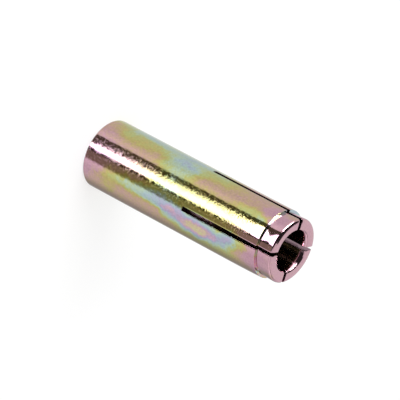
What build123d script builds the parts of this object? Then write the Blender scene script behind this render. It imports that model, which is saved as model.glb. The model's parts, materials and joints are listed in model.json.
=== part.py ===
from build123d import *
from math import radians, sqrt, tan
import os

# Drop-in anchor for an M10 bolt, set in a 12 mm hole. All sizes are millimetres.
# The origin is the centre of the threaded mouth's face, where the anchor stands.
# +Z runs along the axis towards the slotted tip. The saw cuts lie on X and Y.

# Sleeve, outside
sleeve_length = 40.0
wall = 1.72                # round the tap-drilled bore, which makes the body just under 12 mm
neck_length = 2.90         # thinner end beyond the square shoulder
shoulder_drop = 0.44       # radius lost at the shoulder
shoulder_edge_radius = 0.05
neck_flare = 0.08          # radius gained again from the shoulder to the tip
mouth_edge_radius = 0.30
tip_edge_radius = 0.40
tip_crown_width = 0.65     # the end face falls away a little inside its rounded edge
tip_crown_drop = 0.10

# Sleeve, inside, from the mouth to the tip
thread_diameter = 10.0
thread_pitch = 1.5
countersink_depth = 0.95   # 45 degree lead-in for the bolt
thread_depth = 16.0
drill_point_angle = 118.0
bore_step = 0.25           # radius lost where the tap drill stops
guide_length = 6.9         # parallel bore that holds the plug
taper_drop = 0.60          # radius lost along the wedging taper
taper_length = 9.0
exit_chamfer_width = 0.34  # steep chamfer, where the bore opens at the tip
exit_chamfer_depth = 0.78
exit_edge_radius = 0.40

# Saw cuts, which part the front of the sleeve into four leaves
saw_cuts = 2
slot_length = 18.5         # from the tip, at the outside of the sleeve
slot_root_width = 0.80
slot_tip_width = 0.66      # narrower, because the leaves are pressed in a little
saw_radius = 31.5

# Expander plug
plug_gap = 0.30            # behind the plug, at the end of the thread
plug_clearance = 0.05      # round the plug, in the guide bore
wedge_clearance = 0.02     # round the plug's cone, when it is driven in
plug_travel = 3.0          # from its place as supplied to the wedging taper
plug_cone_length = 6.0
plug_back_chamfer = 0.40
plug_nose_radius = 0.35

# What follows from the sizes above
tap_radius = (thread_diameter - thread_pitch) / 2
body_radius = tap_radius + wall
neck_root_radius = body_radius - shoulder_drop
neck_tip_radius = neck_root_radius + neck_flare
tip_crown_radius = tip_crown_width**2 / (2 * tip_crown_drop)
countersink_radius = tap_radius + countersink_depth
guide_radius = tap_radius - bore_step
exit_radius = guide_radius - taper_drop
guide_start = thread_depth + bore_step / tan(radians(drill_point_angle / 2))
taper_start = guide_start + guide_length
taper_end = taper_start + taper_length
shoulder_start = sleeve_length - neck_length
slot_root = sleeve_length - slot_length

os.makedirs("parts", exist_ok=True)


def turned(corners):
    """A solid turned about Z from its half section: (radius, height, rounding) at each corner."""
    points = [(radius, height) for radius, height, _ in corners]
    roundings = [rounding for _, _, rounding in corners]
    outline = Plane.XZ * FilletPolyline(*points, radius=roundings, close=True)
    return revolve(make_face(outline), Axis.Z)


def saw_cut():
    """One pass of the saw across the sleeve, through both walls, along X."""
    reach = body_radius + 1.0
    overrun = 1.0
    blade_height = saw_radius - sqrt(saw_radius**2 - body_radius**2)
    blade_bottom = slot_root - blade_height
    widening = (slot_root_width - slot_tip_width) / slot_length

    def half_width(height):
        return (slot_root_width - widening * (height - slot_root)) / 2

    low, high = blade_bottom - overrun, sleeve_length + overrun
    section = Plane.YZ * Polyline(
        (-half_width(low), low),
        (half_width(low), low),
        (half_width(high), high),
        (-half_width(high), high),
        close=True,
    )
    kerf = extrude(make_face(section), amount=reach, both=True)
    blade = extrude(Plane.XZ * Circle(saw_radius), amount=slot_root_width, both=True)
    return kerf & Pos(0, 0, blade_bottom + saw_radius) * blade


def anchor_sleeve():
    """Turned steel sleeve: threaded behind, tapered inside and sawn into four leaves in front."""
    mouth_land = body_radius - countersink_radius
    tip_land = neck_tip_radius - exit_radius
    sleeve = turned([
        (countersink_radius, 0, 0),
        (tap_radius, countersink_depth, 0),
        (tap_radius, thread_depth, 0),
        (guide_radius, guide_start, 0),
        (guide_radius, taper_start, 0),
        (exit_radius, taper_end, 0),
        (exit_radius, sleeve_length - exit_chamfer_depth, 0),
        (exit_radius + exit_chamfer_width, sleeve_length, min(exit_edge_radius, tip_land / 4)),
        (neck_tip_radius - tip_crown_width, sleeve_length, tip_crown_radius),
        (neck_tip_radius, sleeve_length - tip_crown_drop, min(tip_edge_radius, tip_land / 4)),
        (neck_root_radius, shoulder_start, 0),
        (body_radius, shoulder_start, min(shoulder_edge_radius, shoulder_drop)),
        (body_radius, 0, min(mouth_edge_radius, mouth_land / 2)),
    ])
    for cut in range(saw_cuts):
        sleeve -= Rot(0, 0, 180 * cut / saw_cuts) * saw_cut()
    return sleeve


def expander_plug():
    """Hardened plug, parallel behind and coned in front to the sleeve's own taper."""
    slope = taper_drop / taper_length
    radius = guide_radius - plug_clearance
    back = guide_start + plug_gap
    cone_start = taper_start - plug_travel + (plug_clearance - wedge_clearance) / slope
    nose = cone_start + plug_cone_length
    nose_radius = radius - slope * plug_cone_length
    return turned([
        (0, back, 0),
        (radius - plug_back_chamfer, back, 0),
        (radius, back + plug_back_chamfer, 0),
        (radius, cone_start, 0),
        (nose_radius, nose, plug_nose_radius),
        (0, nose, 0),
    ])


for name, piece in {"anchor_sleeve": anchor_sleeve(), "expander_plug": expander_plug()}.items():
    export_step(piece, os.path.join("parts", name + ".step"))
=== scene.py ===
import json
import math

import bmesh
import bpy
from mathutils import Matrix, Vector


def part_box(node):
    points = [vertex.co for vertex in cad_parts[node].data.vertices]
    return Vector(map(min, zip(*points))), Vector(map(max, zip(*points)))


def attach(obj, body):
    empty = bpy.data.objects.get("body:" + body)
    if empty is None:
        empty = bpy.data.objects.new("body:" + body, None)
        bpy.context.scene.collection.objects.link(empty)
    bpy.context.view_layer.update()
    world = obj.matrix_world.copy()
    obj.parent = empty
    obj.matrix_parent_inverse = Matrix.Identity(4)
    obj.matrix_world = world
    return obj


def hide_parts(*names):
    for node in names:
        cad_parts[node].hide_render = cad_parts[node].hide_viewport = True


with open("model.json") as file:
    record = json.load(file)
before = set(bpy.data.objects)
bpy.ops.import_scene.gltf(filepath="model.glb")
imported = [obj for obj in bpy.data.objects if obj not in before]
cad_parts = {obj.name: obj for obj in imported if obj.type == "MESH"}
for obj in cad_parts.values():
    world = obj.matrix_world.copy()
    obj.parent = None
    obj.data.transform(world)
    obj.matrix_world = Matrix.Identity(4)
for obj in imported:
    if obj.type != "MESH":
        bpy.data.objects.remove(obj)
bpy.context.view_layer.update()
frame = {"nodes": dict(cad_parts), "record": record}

# The sleeve is turned from one steel bar, tapped from its mouth and then sawn across twice at
# the other end, so that four leaves stand free. The press that narrows the cuts leaves each
# leaf a little different. Lengths are millimetres until the finished mesh goes to metres.

MM = 0.001
camera_azimuth = -111.2  # where the camera stands, in degrees round the axis from +X
sleeve_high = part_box("anchor_sleeve")[1] / MM
sleeve_length = sleeve_high.z
body_radius = sleeve_high.x
shoulder_start = sleeve_length - 2.90
shoulder_edge_radius = 0.05
shoulder_fillet_radius = 0.04
neck_root_radius = body_radius - 0.44
neck_tip_radius = body_radius - 0.36
tip_edge_radius = 0.40
tip_crown_width = 0.65
tip_crown_drop = 0.10
mouth_edge_radius = 0.30

thread_pitch = 1.5
thread_radius = 5.0
tap_radius = frame["record"]["mounts"][0]["dims"]["r_mm"]
thread_turns = 11
thread_fade_start = 12.0
thread_fade_slope = 0.3
countersink_depth = 0.95
thread_depth = 16.0
guide_start = thread_depth + 0.15
guide_radius = tap_radius - 0.25
taper_start = guide_start + 6.90
taper_end = taper_start + 9.0
exit_radius = guide_radius - 0.60
exit_chamfer_width = 0.34
exit_chamfer_depth = 0.78
exit_edge_radius = 0.40
row_spacing = 1.6

slots = 4
slot_root = sleeve_length - 18.5
slot_root_width = 0.80
slot_tip_widths = (0.74, 0.66, 0.72, 0.66)  # from the slot on +X on
slot_edge_width = 0.04
saw_radius = 31.5
leaf_columns = 44
slot_columns = 2
quarter = math.tau / slots
# where each leaf is pushed, in degrees from the camera's side, and how far, from +X on
leaf_pushes = ((115, -0.08), (-114, 0.03), (-24, -0.02), (66, -0.10))
bend_length = 6.5


def rounded(corners, arc_step=11.0):
    """The outline through (radius, height, rounding) corners, with every rounding as an arc."""
    points = [Vector(corner[:2]) for corner in corners]
    outline = []
    for index, (here, corner) in enumerate(zip(points, corners)):
        if not corner[2]:
            outline.append(here)
            continue
        before = (points[index - 1] - here).normalized()
        after = (points[(index + 1) % len(points)] - here).normalized()
        turn = math.pi - before.angle(after)
        middle = here + (before + after).normalized() * corner[2] / math.cos(turn / 2)
        first = here + before * corner[2] * math.tan(turn / 2) - middle
        side = math.copysign(1.0, before.cross(after))
        steps = max(2, round(math.degrees(turn) / arc_step))
        for step in range(steps + 1):
            outline.append(middle + Matrix.Rotation(-side * turn * step / steps, 2) @ first)
    return outline


def spaced(outline):
    """The same outline with more points along its long straight stretches."""
    filled = []
    for start, end in zip(outline, outline[1:] + outline[:1]):
        count = max(1, math.ceil((end - start).length / row_spacing))
        filled += [start.lerp(end, i / count) for i in range(count)]
    return filled


def saw_drop(radius):
    """How far the round saw blade reaches below its depth at the sleeve's outside."""
    return math.sqrt(saw_radius**2 - radius**2) - math.sqrt(saw_radius**2 - body_radius**2)


def half_slot(height, slot):
    """Half the width of a slot, which narrows from its root to the tip."""
    share = max(0.0, (height - slot_root) / (sleeve_length - slot_root))
    return (slot_root_width + (slot_tip_widths[slot] - slot_root_width) * share) / 2


def half_section():
    """The sleeve's outline: up the outside, over the tip, down the bore and across the mouth."""
    crown_radius = tip_crown_width**2 / (2 * tip_crown_drop)
    return spaced(rounded([
        (body_radius, 0, mouth_edge_radius),
        (body_radius, slot_root, 0),
        (body_radius, shoulder_start, shoulder_edge_radius),
        (neck_root_radius, shoulder_start, shoulder_fillet_radius),
        (neck_tip_radius, sleeve_length - tip_crown_drop, tip_edge_radius),
        (neck_tip_radius - tip_crown_width, sleeve_length, crown_radius),
        (exit_radius + exit_chamfer_width, sleeve_length, exit_edge_radius),
        (exit_radius, sleeve_length - exit_chamfer_depth, 0),
        (exit_radius, taper_end, 0),
        (guide_radius, taper_start, 0),
        (guide_radius, slot_root - saw_drop(guide_radius), 0),
        (guide_radius, guide_start, 0),
        (tap_radius, thread_depth, 0),
        (tap_radius, countersink_depth, 0),
        (tap_radius + countersink_depth, 0, 0),
    ]))


def turn_outline(mesh, outline, columns):
    """Spins the outline once about Z into a closed turned solid."""
    ring = [mesh.verts.new((radius, 0, height)) for radius, height in outline]
    edges = [mesh.edges.new(pair) for pair in zip(ring, ring[1:] + ring[:1])]
    bmesh.ops.spin(
        mesh, geom=ring + edges, cent=(0, 0, 0), axis=(0, 0, 1), angle=math.tau, steps=columns,
        use_merge=True,
    )
    bmesh.ops.remove_doubles(mesh, verts=mesh.verts, dist=1e-5)


def nearest_slot(point):
    """The nearest slot, counted from +X on, and the angle from its middle."""
    angle = math.atan2(point.y, point.x)
    slot = round(angle / quarter)
    return slot % slots, angle - slot * quarter


def line_up_columns(mesh):
    """Moves the columns of points so that two of them run along the two edges of each slot."""
    edge = quarter / (leaf_columns + slot_columns) * slot_columns / 2
    half_leaf = quarter / 2
    for vert in mesh.verts:
        slot, offset = nearest_slot(vert.co)
        radius = vert.co.xy.length
        opened = math.asin(half_slot(vert.co.z, slot) / radius)
        if abs(offset) <= edge * 1.01:
            moved = abs(offset) / edge * opened
        else:
            moved = opened + (abs(offset) - edge) * (half_leaf - opened) / (half_leaf - edge)
        angle = slot * quarter + math.copysign(moved, offset)
        vert.co.x, vert.co.y = radius * math.cos(angle), radius * math.sin(angle)


def saw_slots(mesh):
    """Takes out the faces of each slot, walls it in and rounds its long edges."""
    gone = []
    for face in mesh.faces:
        middle = face.calc_center_median()
        slot, offset = nearest_slot(middle)
        radius = middle.xy.length
        root = slot_root - saw_drop(radius) if radius < body_radius - 1 else slot_root
        if abs(offset) < math.asin(half_slot(middle.z, slot) / radius) and middle.z > root:
            gone.append(face)
    bmesh.ops.delete(mesh, geom=gone, context="FACES")
    floors = [
        edge for edge in mesh.edges
        if edge.is_boundary and abs(edge.verts[0].co.z - edge.verts[1].co.z) < 1e-4
        and edge.verts[0].co.z < slot_root + 0.01
    ]
    for slot in range(slots):
        middle = Vector((math.cos(slot * quarter), math.sin(slot * quarter)))
        near = [edge for edge in floors if edge.verts[0].co.xy.angle(middle) < 0.2]
        bmesh.ops.bridge_loops(mesh, edges=near)
    bmesh.ops.holes_fill(mesh, edges=[edge for edge in mesh.edges if edge.is_boundary], sides=0)
    bmesh.ops.recalc_face_normals(mesh, faces=mesh.faces)
    rims = [
        edge for edge in mesh.edges
        if edge.calc_face_angle(0) > math.radians(60)
        and min(vert.co.z for vert in edge.verts) > slot_root - 1
        and abs(nearest_slot(edge.verts[0].co)[1]) < 0.16
    ]
    bmesh.ops.bevel(
        mesh, geom=rims, offset=slot_edge_width, offset_type="OFFSET", segments=2, profile=0.5,
        affect="EDGES", material=-1, clamp_overlap=True,
    )


def press_leaves(mesh):
    """Bends each leaf by its own small amount, more and more up to the shoulder."""
    for vert in mesh.verts:
        reach = min(1.0, max(0.0, (vert.co.z - shoulder_start) / bend_length + 1))
        leaf = int(math.atan2(vert.co.y, vert.co.x) % math.tau / quarter)
        degrees, push = leaf_pushes[leaf]
        turn = math.radians(camera_azimuth + degrees)
        vert.co += Vector((math.cos(turn), math.sin(turn), 0)) * push * reach**2


def new_object(mesh, name):
    data = bpy.data.meshes.new(name)
    mesh.to_mesh(data)
    mesh.free()
    made = bpy.data.objects.new(name, data)
    bpy.context.scene.collection.objects.link(made)
    return made


def thread_tap():
    """The helical tooth of the tap, as a solid, which fades out at the thread's end."""
    flank = math.tan(math.radians(30))
    inner = tap_radius - 0.12
    root = thread_pitch / 16
    foot = root + (thread_radius - inner) * flank
    steps = 64
    mesh = bmesh.new()
    corners = [(inner, -foot), (thread_radius, -root), (thread_radius, root), (inner, foot)]
    tooth = mesh.faces.new([mesh.verts.new((r, 0, z - thread_pitch)) for r, z in corners])
    bmesh.ops.spin(
        mesh, geom=[tooth], cent=(0, 0, 0), axis=(0, 0, 1), angle=math.tau * thread_turns,
        steps=steps * thread_turns, dvec=(0, 0, thread_pitch / steps),
    )
    for vert in mesh.verts:
        limit = thread_radius - thread_fade_slope * max(0.0, vert.co.z - thread_fade_start)
        radius = vert.co.xy.length
        if radius > limit:
            scale = max(limit, inner - 0.05) / radius
            vert.co.x, vert.co.y = vert.co.x * scale, vert.co.y * scale
    bmesh.ops.recalc_face_normals(mesh, faces=mesh.faces)
    if mesh.calc_volume(signed=True) < 0:
        bmesh.ops.reverse_faces(mesh, faces=mesh.faces)
    return new_object(mesh, "thread_tap")


def tapped(piece):
    """The piece's mesh with the thread cut into its bore."""
    tap = thread_tap()
    cut = piece.modifiers.new("thread", "BOOLEAN")
    cut.operation, cut.solver, cut.object = "DIFFERENCE", "EXACT", tap
    depsgraph = bpy.context.evaluated_depsgraph_get()
    data = bpy.data.meshes.new_from_object(piece.evaluated_get(depsgraph))
    piece.modifiers.clear()
    bpy.data.objects.remove(tap)
    return data


def mark_cut_faces(mesh):
    """Gives the saw cuts the second finish, the bore and its thread the third, the rest the first."""
    for face in mesh.faces:
        middle = face.calc_center_median()
        outward = Vector((middle.x, middle.y, 0)).normalized()
        along = Vector((-outward.y, outward.x, 0))
        facing_in = face.normal.dot(outward) < -0.2 and face.normal.z < 0.2
        sawn = middle.z > slot_root - 1 and abs(face.normal.dot(along)) > 0.6
        floor = slot_root - 1 < middle.z < slot_root + 0.1 and face.normal.z > 0.5
        face.material_index = 1 if sawn or floor else 2 if facing_in else 0


def turned_sleeve():
    mesh = bmesh.new()
    turn_outline(mesh, half_section(), slots * (leaf_columns + slot_columns))
    line_up_columns(mesh)
    saw_slots(mesh)
    press_leaves(mesh)
    piece = new_object(mesh, "turned_sleeve")
    piece.data = tapped(piece)
    mesh = bmesh.new()
    mesh.from_mesh(piece.data)
    bmesh.ops.remove_doubles(mesh, verts=mesh.verts, dist=1e-5)
    bmesh.ops.recalc_face_normals(mesh, faces=mesh.faces)
    mark_cut_faces(mesh)
    bmesh.ops.scale(mesh, vec=(MM, MM, MM), verts=mesh.verts)
    mesh.to_mesh(piece.data)
    mesh.free()
    piece.data.shade_smooth()
    piece.data.set_sharp_from_angle(angle=math.radians(38))
    level = piece.modifiers.new("level_faces", "WEIGHTED_NORMAL")
    level.weight, level.keep_sharp = 100, True
    return piece


sleeve = turned_sleeve()


class Wire:
    """A node's output. Arithmetic on numbers adds Math nodes to the tree that it is in."""

    def __init__(self, tree, socket):
        self.tree, self.socket = tree, socket

    def node(self, kind, settings=None, values=None, output=0):
        return add_node(self.tree, kind, settings, values, output)

    def maths(self, operation, *numbers):
        return self.node("Math", {"operation": operation}, dict(enumerate(numbers)))

    def vector(self, operation, *vectors, output=0):
        return self.node("VectorMath", {"operation": operation}, dict(enumerate(vectors)), output)

    def __add__(self, other):
        return self.maths("ADD", self, other)

    def __sub__(self, other):
        return self.maths("SUBTRACT", self, other)

    def __mul__(self, other):
        return self.maths("MULTIPLY", self, other)

    def __radd__(self, other):
        return self.maths("ADD", other, self)

    def __rsub__(self, other):
        return self.maths("SUBTRACT", other, self)

    def __rmul__(self, other):
        return self.maths("MULTIPLY", other, self)

    def __rpow__(self, other):
        return self.maths("POWER", other, self)

    def __neg__(self):
        return self.maths("MULTIPLY", self, -1.0)


def add_node(tree, kind, settings=None, values=None, output=0):
    """Adds a node: its settings or a ramp's stops first, then its sockets' values or links."""
    made = tree.nodes.new("ShaderNode" + kind)
    for name, setting in (settings or {}).items():
        if name == "stops":
            elements = made.color_ramp.elements
            while len(elements) < len(setting):
                elements.new(0.5)
            for element, (place, colour) in zip(elements, setting):
                element.position = place
                element.color = (*colour, 1.0)
        else:
            setattr(made, name, setting)
    for socket, value in (values or {}).items():
        if isinstance(value, Wire):
            tree.links.new(value.socket, made.inputs[socket])
        else:
            made.inputs[socket].default_value = value
    return Wire(tree, made.outputs[output])


def step_up(value, low, high):
    """0 below low, 1 above high and smooth between them."""
    return value.node("MapRange", {"interpolation_type": "SMOOTHSTEP"}, {0: value, 1: low, 2: high})


def linear(red, green, blue):
    """A colour as the eye names it, from 0 to 255, as the light that a shader works with."""
    shares = [value / 255 for value in (red, green, blue)]
    return tuple(s / 12.92 if s <= 0.04045 else ((s + 0.055) / 1.055) ** 2.4 for s in shares)


# Yellow zinc: bright zinc under a thin chromate film. Light that goes through the film and
# light that it throws back give it its colours, which follow the film's thickness as on oil.

film_colours = [
    (0.00, linear(186, 146, 161)),
    (0.08, linear(188, 151, 158)),
    (0.17, linear(187, 157, 138)),
    (0.27, linear(183, 170, 108)),
    (0.36, linear(176, 181, 118)),
    (0.46, linear(172, 190, 168)),
    (0.55, linear(162, 182, 184)),
    (0.64, linear(166, 168, 190)),
    (0.74, linear(187, 161, 184)),
    (0.83, linear(194, 165, 171)),
    (0.92, linear(202, 186, 152)),
    (1.00, linear(190, 195, 150)),
]
film_start = 0.17
film_patches = [
    # degrees from the camera's side, height, half spread round and along in mm, more film
    (-78, 12.0, 1.9, 13.5, 0.26),
    (-60, 38.5, 1.2, 1.5, 0.10),
    (-54, 8.0, 2.2, 6.0, 0.13),
    (-50, 5.0, 1.8, 1.4, 0.07),
    (-25, 2.0, 2.0, 3.0, -0.05),
    (-36, 17.1, 2.5, 3.9, 0.26),
    (-57, 20.5, 2.0, 8.0, 0.19),
    (-42, 36.5, 1.7, 2.0, -0.13),
    (-35, 38.5, 0.9, 1.5, -0.06),
    (-24, 33.5, 1.1, 3.6, 0.15),
    (-22, 36.0, 1.0, 1.2, 0.12),
    (-4, 25.0, 2.0, 12.5, 0.13),
    (-4, 4.0, 2.0, 5.0, -0.05),
    (12, 17.5, 1.3, 4.0, 0.17),
    (10, 1.5, 1.6, 3.5, -0.10),
    (13, 36.0, 1.6, 3.5, -0.12),
    (28, 14.0, 1.25, 8.0, 0.30),
    (31, 17.0, 1.2, 4.0, 0.10),
    (26, 2.5, 1.0, 1.8, -0.10),
    (36, 0.5, 2.2, 1.6, -0.16),
    (46, 5.6, 2.2, 1.8, 0.09),
    (38, 25.0, 2.2, 6.0, 0.42),
    (41, 25.0, 1.0, 4.5, 0.32),
    (40, 18.5, 1.4, 2.0, 0.20),
    (38, 31.5, 2.2, 1.8, 0.22),
    (28, 32.5, 1.2, 2.5, 0.20),
    (62, 26.0, 1.8, 7.0, 0.13),
    (46, 36.5, 2.0, 1.8, -0.15),
    (35, 37.1, 2.0, 0.30, -0.36),
    (78, 37.1, 4.5, 0.30, -0.50),
    (70, 38.7, 1.2, 1.4, 0.12),
    (98, 15.0, 1.8, 9.0, 0.24),
    (122, 24.0, 1.6, 8.0, 0.33),
    (138, 5.0, 2.2, 7.0, 0.22),
    (166, 20.0, 1.7, 11.0, 0.46),
    (-168, 33.0, 2.0, 3.5, 0.22),
    (-160, 7.0, 2.4, 5.0, 0.18),
    (-134, 19.0, 1.5, 9.0, 0.38),
    (-112, 29.0, 1.9, 6.0, 0.30),
    (-100, 6.0, 1.8, 5.0, 0.20),
]
film_most = 0.94
film_lost_on_neck = 0.12
film_in_corner = 0.50  # more, in the narrow corner under the shoulder
corner_reach = 0.05
film_wobble = (1.6, 1.6, 3.0)


def on_skin(angle, height):
    """The point on the sleeve's outside that many degrees from the camera's side."""
    turn = math.radians(camera_azimuth + angle)
    return (body_radius * math.cos(turn), body_radius * math.sin(turn), height)


def film_thickness(place):
    """The chromate film over the whole sleeve, thicker where it drained and dried last."""
    drift = place.node("TexNoise", {}, {"Vector": place, "Scale": 0.5, "Detail": 4.0})
    height = place.node("SeparateXYZ", {}, {0: place}, "Z")
    on_neck = step_up(height, shoulder_start - 1.1, shoulder_start + 0.5)
    thickness = film_start + (drift - 0.5) * 0.10 - film_lost_on_neck * on_neck
    for angle, height, round_, along, change in film_patches:
        offset = place.vector("SUBTRACT", place, on_skin(angle, height))
        scaled = place.vector("DIVIDE", offset, (round_, round_, along))
        reach = place.vector("DOT_PRODUCT", scaled, scaled, output="Value")
        thickness = thickness + change * (math.e ** -(reach * reach))
    return thickness.maths("MINIMUM", thickness, film_most)


def new_material(name):
    material = bpy.data.materials.new(name)
    material.use_nodes = True
    material.node_tree.nodes.clear()
    return material, material.node_tree


def finish_with(tree, shader, kind="Material"):
    out = tree.nodes.new("ShaderNodeOutput" + kind)
    tree.links.new(shader.socket, out.inputs["Surface"])


def yellow_zinc():
    """The skin: its film in clouds and fine grain, and specks where the pickling bit deeper."""
    material, tree = new_material("yellow_zinc")
    metres = add_node(tree, "TexCoord", output="Object")
    place = metres.node("VectorMath", {"operation": "SCALE"}, {0: metres, "Scale": 1 / MM})
    wobble = place.node("TexNoise", {}, {"Vector": place, "Scale": 0.7, "Detail": 4.0}, "Color")
    centred = wobble.vector("SUBTRACT", wobble, (0.5, 0.5, 0.5))
    thickness = film_thickness(place.vector("MULTIPLY_ADD", centred, film_wobble, place))
    cloud = place.node(
        "TexNoise", {}, {"Vector": place, "Scale": 1.6, "Detail": 4.0, "Roughness": 0.65},
    )
    squeezed = place.vector("MULTIPLY", place, (1.0, 1.0, 1.4))
    grain = place.node("TexNoise", {}, {"Vector": squeezed, "Scale": 2.6, "Detail": 1.0})
    thickness = thickness + (cloud - 0.5) * 0.20 + (grain - 0.5) * 0.05
    height = place.node("SeparateXYZ", {}, {0: place}, "Z")
    from_corner = (height - shoulder_start) * (1 / corner_reach)
    thickness = thickness + film_in_corner * (math.e ** -(from_corner * from_corner))
    colour = thickness.node("ValToRGB", {"stops": film_colours}, {0: thickness})
    speckle = place.node(
        "TexNoise", {}, {"Vector": place, "Scale": 3.4, "Detail": 1.5, "Roughness": 0.6},
    )
    shade = speckle.node("MapRange", {}, {0: speckle, 1: 0.3, 2: 0.7, 3: 0.90, 4: 1.06})
    colour = colour.node("VectorMath", {"operation": "SCALE"}, {0: colour, "Scale": shade})
    etched = speckle.node("MapRange", {}, {0: speckle, 1: 0.50, 2: 0.61, 3: 0.0, 4: 0.19})
    # The neck, and the skin just behind it, is smoother and mirrors more cleanly.
    evened = 1 - 0.75 * step_up(height, shoulder_start - 5.0, shoulder_start + 0.5)
    bump = place.node("Bump", {}, {"Strength": 1.0, "Distance": 0.000011, "Height": grain * evened})
    finish_with(tree, place.node(
        "BsdfPrincipled", {},
        {"Base Color": colour, "Metallic": 1.0, "Roughness": 0.05 + etched * evened, "Normal": bump},
    ))
    return material


def cut_zinc_painted_shade():
    """The saw cuts: scored along the saw's way, with a dark base colour that is painted shade for the
    inside of the narrow slots.
    """
    material, tree = new_material("cut_zinc_painted_shade")
    metres = add_node(tree, "TexCoord", output="Object")
    place = metres.node("VectorMath", {"operation": "SCALE"}, {0: metres, "Scale": 1 / MM})
    grain = place.node("TexNoise", {}, {"Vector": place, "Scale": 2.0, "Detail": 4.0})
    # painted shade: these dark purple-browns stand in for the shade inside the narrow slots
    colours = [(0.35, linear(104, 54, 70)), (0.5, linear(118, 62, 90)), (0.65, linear(112, 74, 80))]
    colour = grain.node("ValToRGB", {"stops": colours}, {0: grain})
    scored = place.vector("MULTIPLY", place, (1.0, 1.0, 6.0))
    marks = place.node("TexNoise", {}, {"Vector": scored, "Scale": 2.0})
    bump = place.node("Bump", {}, {"Strength": 1.0, "Distance": 0.000010, "Height": marks})
    finish_with(tree, place.node(
        "BsdfPrincipled", {},
        {"Base Color": colour, "Metallic": 1.0, "Roughness": 0.16, "Normal": bump},
    ))
    return material


def bore_zinc_painted_shade():
    """The bore and its thread: a dark brown base colour that is painted shade for the deep bore, and
    dull.
    """
    material, tree = new_material("bore_zinc_painted_shade")
    metres = add_node(tree, "TexCoord", output="Object")
    place = metres.node("VectorMath", {"operation": "SCALE"}, {0: metres, "Scale": 1 / MM})
    drawn = place.vector("MULTIPLY", place, (2.0, 2.0, 0.25))
    marks = place.node("TexNoise", {}, {"Vector": drawn, "Scale": 1.5, "Detail": 3.0})
    # painted shade: these dark browns stand in for the shade deep in the bore
    colours = [(0.35, linear(70, 60, 46)), (0.5, linear(96, 84, 66)), (0.65, linear(128, 112, 92))]
    colour = marks.node("ValToRGB", {"stops": colours}, {0: marks})
    bump = place.node("Bump", {}, {"Strength": 1.0, "Distance": 0.000008, "Height": marks})
    finish_with(tree, place.node(
        "BsdfPrincipled", {},
        {"Base Color": colour, "Metallic": 1.0, "Roughness": 0.2, "Normal": bump},
    ))
    return material


sleeve.data.materials.append(yellow_zinc())
sleeve.data.materials.append(cut_zinc_painted_shade())
sleeve.data.materials.append(bore_zinc_painted_shade())
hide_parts("anchor_sleeve")
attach(sleeve, "sleeve")

# The plug is turned from harder steel, parallel behind and coned in front, and dropped into
# the bore from the mouth. It is zinc plated but keeps the plain grey of its metal.


def plain_steel():
    material, tree = new_material("plain_steel")
    metres = add_node(tree, "TexCoord", output="Object")
    grain = metres.node("TexNoise", {}, {"Vector": metres, "Scale": 2500.0, "Detail": 3.0})
    bump = metres.node("Bump", {}, {"Strength": 0.6, "Distance": 0.000006, "Height": grain})
    finish_with(tree, metres.node(
        "BsdfPrincipled", {},
        {"Base Color": (*linear(190, 187, 180), 1.0), "Metallic": 1.0, "Roughness": 0.3,
         "Normal": bump},
    ))
    return material


plug = frame["nodes"]["expander_plug"]
plug.data.materials.clear()
plug.data.materials.append(plain_steel())

# The table top is pale and matt. The metal doesn't mirror it, but the studio beyond it, so
# that the light bands of the photograph lie on the sleeve although it stands.


def pale_floor():
    mesh = bmesh.new()
    bmesh.ops.create_grid(mesh, x_segments=1, y_segments=1, size=1.5)
    floor = new_object(mesh, "table_top")
    material, tree = new_material("table_top")
    glossy = add_node(tree, "LightPath", output="Is Glossy Ray")
    through = glossy.node("LightPath", output="Is Transmission Ray")
    matt = glossy.node("BsdfDiffuse", {}, {"Color": (0.9, 0.9, 0.9, 1.0)})
    glow = glossy.node("Emission", {}, {"Color": (1.0, 1.0, 1.0, 1.0), "Strength": 1.0})
    top = glossy.node("MixShader", {}, {0: 0.6, 1: matt, 2: glow})
    clear = glossy.node("BsdfTransparent")
    unseen = glossy.maths("MAXIMUM", glossy, through)
    finish_with(tree, glossy.node("MixShader", {}, {0: unseen, 1: top, 2: clear}))
    floor.data.materials.append(material)
    return floor


pale_floor()

# The studio is white all round but dark behind the camera, with a white strip low in the dark
# and a large window to its left. Angles are degrees round the anchor's axis from the camera,
# and degrees above level.


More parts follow.
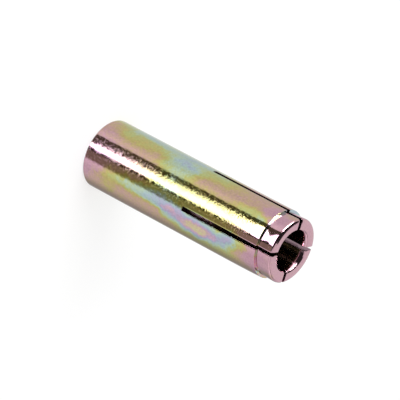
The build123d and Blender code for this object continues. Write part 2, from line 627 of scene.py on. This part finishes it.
def studio():
    world = bpy.data.worlds.new("studio")
    bpy.context.scene.world = world
    world.use_nodes = True
    tree = world.node_tree
    tree.nodes.clear()
    toward = add_node(tree, "TexCoord", output="Generated")
    faced = toward.node(
        "VectorRotate", {"rotation_type": "Z_AXIS"},
        {"Vector": toward, "Angle": math.radians(-camera_azimuth)},
    )
    x, y, z = (faced.node("SeparateXYZ", {}, {0: faced}, axis) for axis in "XYZ")
    around = x.maths("ARCTAN2", y, x) * math.degrees(1)
    above = z.maths("ARCSINE", z) * math.degrees(1)

    def between(value, low, high, soft):
        return step_up(value, low - soft, low + soft) * (1 - step_up(value, high - soft, high + soft))

    def painted(under, over, mask):
        return under * (1 - mask) + over * mask

    low = 1 - step_up(above, -15.0, 5.0)
    sideways = around.maths("ABSOLUTE", around)
    fading = 0.26 * step_up(sideways, 48.0, 75.0) + 0.12 * step_up(sideways, 95.0, 140.0)
    light = 1.0 + low * (0.24 - fading)
    far_side = between(around, 122.0, 176.0, 28.0) * low
    light = light * (1 - 0.56 * far_side)
    right_side = between(around, 48.0, 136.0, 6.0) * between(above, 26.5, 37.0, 1.5)
    dark_side = between(around, 136.0, 160.0, 6.0) * between(above, 20.0, 46.0, 4.0)
    light = light * (1 + 0.9 * right_side) * (1 - 0.55 * dark_side)
    behind = step_up(sideways, 140.0, 155.0) * between(above, 12.0, 55.0, 6.0)
    light = light * (1 + 0.12 * behind)
    low_hollow = between(around, -40.0, 44.3, 1.0) * (1 - step_up(above, -12.0, -2.0))
    fanned = above.node("MapRange", {}, {0: above, 1: -35.0, 2: -30.0})
    left_tone = 0.11 - 0.07 * step_up(around, -10.0, 10.0)
    right_tone = (0.26 + 0.12 * fanned) * step_up(around, 15.0, 18.0)
    light = painted(light, left_tone + right_tone, low_hollow)
    high_hollow = between(around, -39.0, 32.0, 4.0) * step_up(above, -12.0, -2.0)
    lid = (1 - step_up(around, 24.0, 34.0)) * step_up(above, 35.5, 38.5)
    shut = high_hollow.maths("MAXIMUM", high_hollow, lid)
    light = painted(light, 0.03 + 0.2 * step_up(around, 16.0, 22.0), shut)
    window = between(around, -97.0, -47.0, 3.0) * between(above, -4.0, 40.0, 2.5)
    light = painted(light, 3.0 + 27.0 * step_up(above, 24.0, 29.0), window)
    left_edge = step_up(around + 18.8 * fanned, -8.0, -6.6)
    right_edge = 1 - step_up(around - 7.6 * fanned, 4.2, 5.6)
    strip = left_edge * right_edge * (1 - step_up(above, -3.0, 6.0))
    light = painted(light, 6.0, strip)

    glossy = toward.node("LightPath", {}, {}, "Is Glossy Ray")
    strength = painted(1.0, light, glossy)
    warmth = glossy * low_hollow * (1 - strip)
    tint = warmth.node(
        "Mix", {"data_type": "RGBA"},
        {0: warmth, 6: (1.0, 1.0, 1.0, 1.0), 7: (1.0, 0.9, 0.62, 1.0)}, 2,
    )
    coolness = glossy * strip
    tint = coolness.node(
        "Mix", {"data_type": "RGBA"}, {0: coolness, 6: tint, 7: (0.96, 0.98, 1.14, 1.0)}, 2,
    )
    background = strength.node("Background", {}, {"Color": tint, "Strength": strength})
    finish_with(tree, background, "World")


def soft_lamp(name, place, size, power):
    lamp = bpy.data.lights.new(name, "AREA")
    lamp.size = size
    lamp.energy = power
    made = bpy.data.objects.new(name, lamp)
    made.location = place
    made.rotation_euler = (-Vector(place)).to_track_quat("-Z", "Y").to_euler()
    made.visible_glossy = False
    bpy.context.scene.collection.objects.link(made)


studio()
soft_lamp("key", (-0.35, -0.10, 0.45), 0.30, 1.2)

# The camera stands where the photograph's does, turned about its line of sight, because the
# anchor in the photograph lies on its side.

camera_place = Vector((-0.15745, -0.40591, 0.29761))
camera_aim = Vector((-0.00032, 0.00025, 0.02016))
camera_roll = 118.03
camera_lens = 288.0

camera = bpy.data.objects.new("camera", bpy.data.cameras.new("camera"))
camera.data.lens = camera_lens
camera.data.sensor_width = 36.0
camera.data.clip_start = 0.01
turned = (camera_aim - camera_place).to_track_quat("-Z", "Y").to_matrix().to_4x4()
roll = Matrix.Rotation(math.radians(camera_roll), 4, "Z")
camera.matrix_world = Matrix.Translation(camera_place) @ turned @ roll
bpy.context.scene.collection.objects.link(camera)
bpy.context.scene.camera = camera
bpy.context.scene.view_settings.view_transform = "Standard"
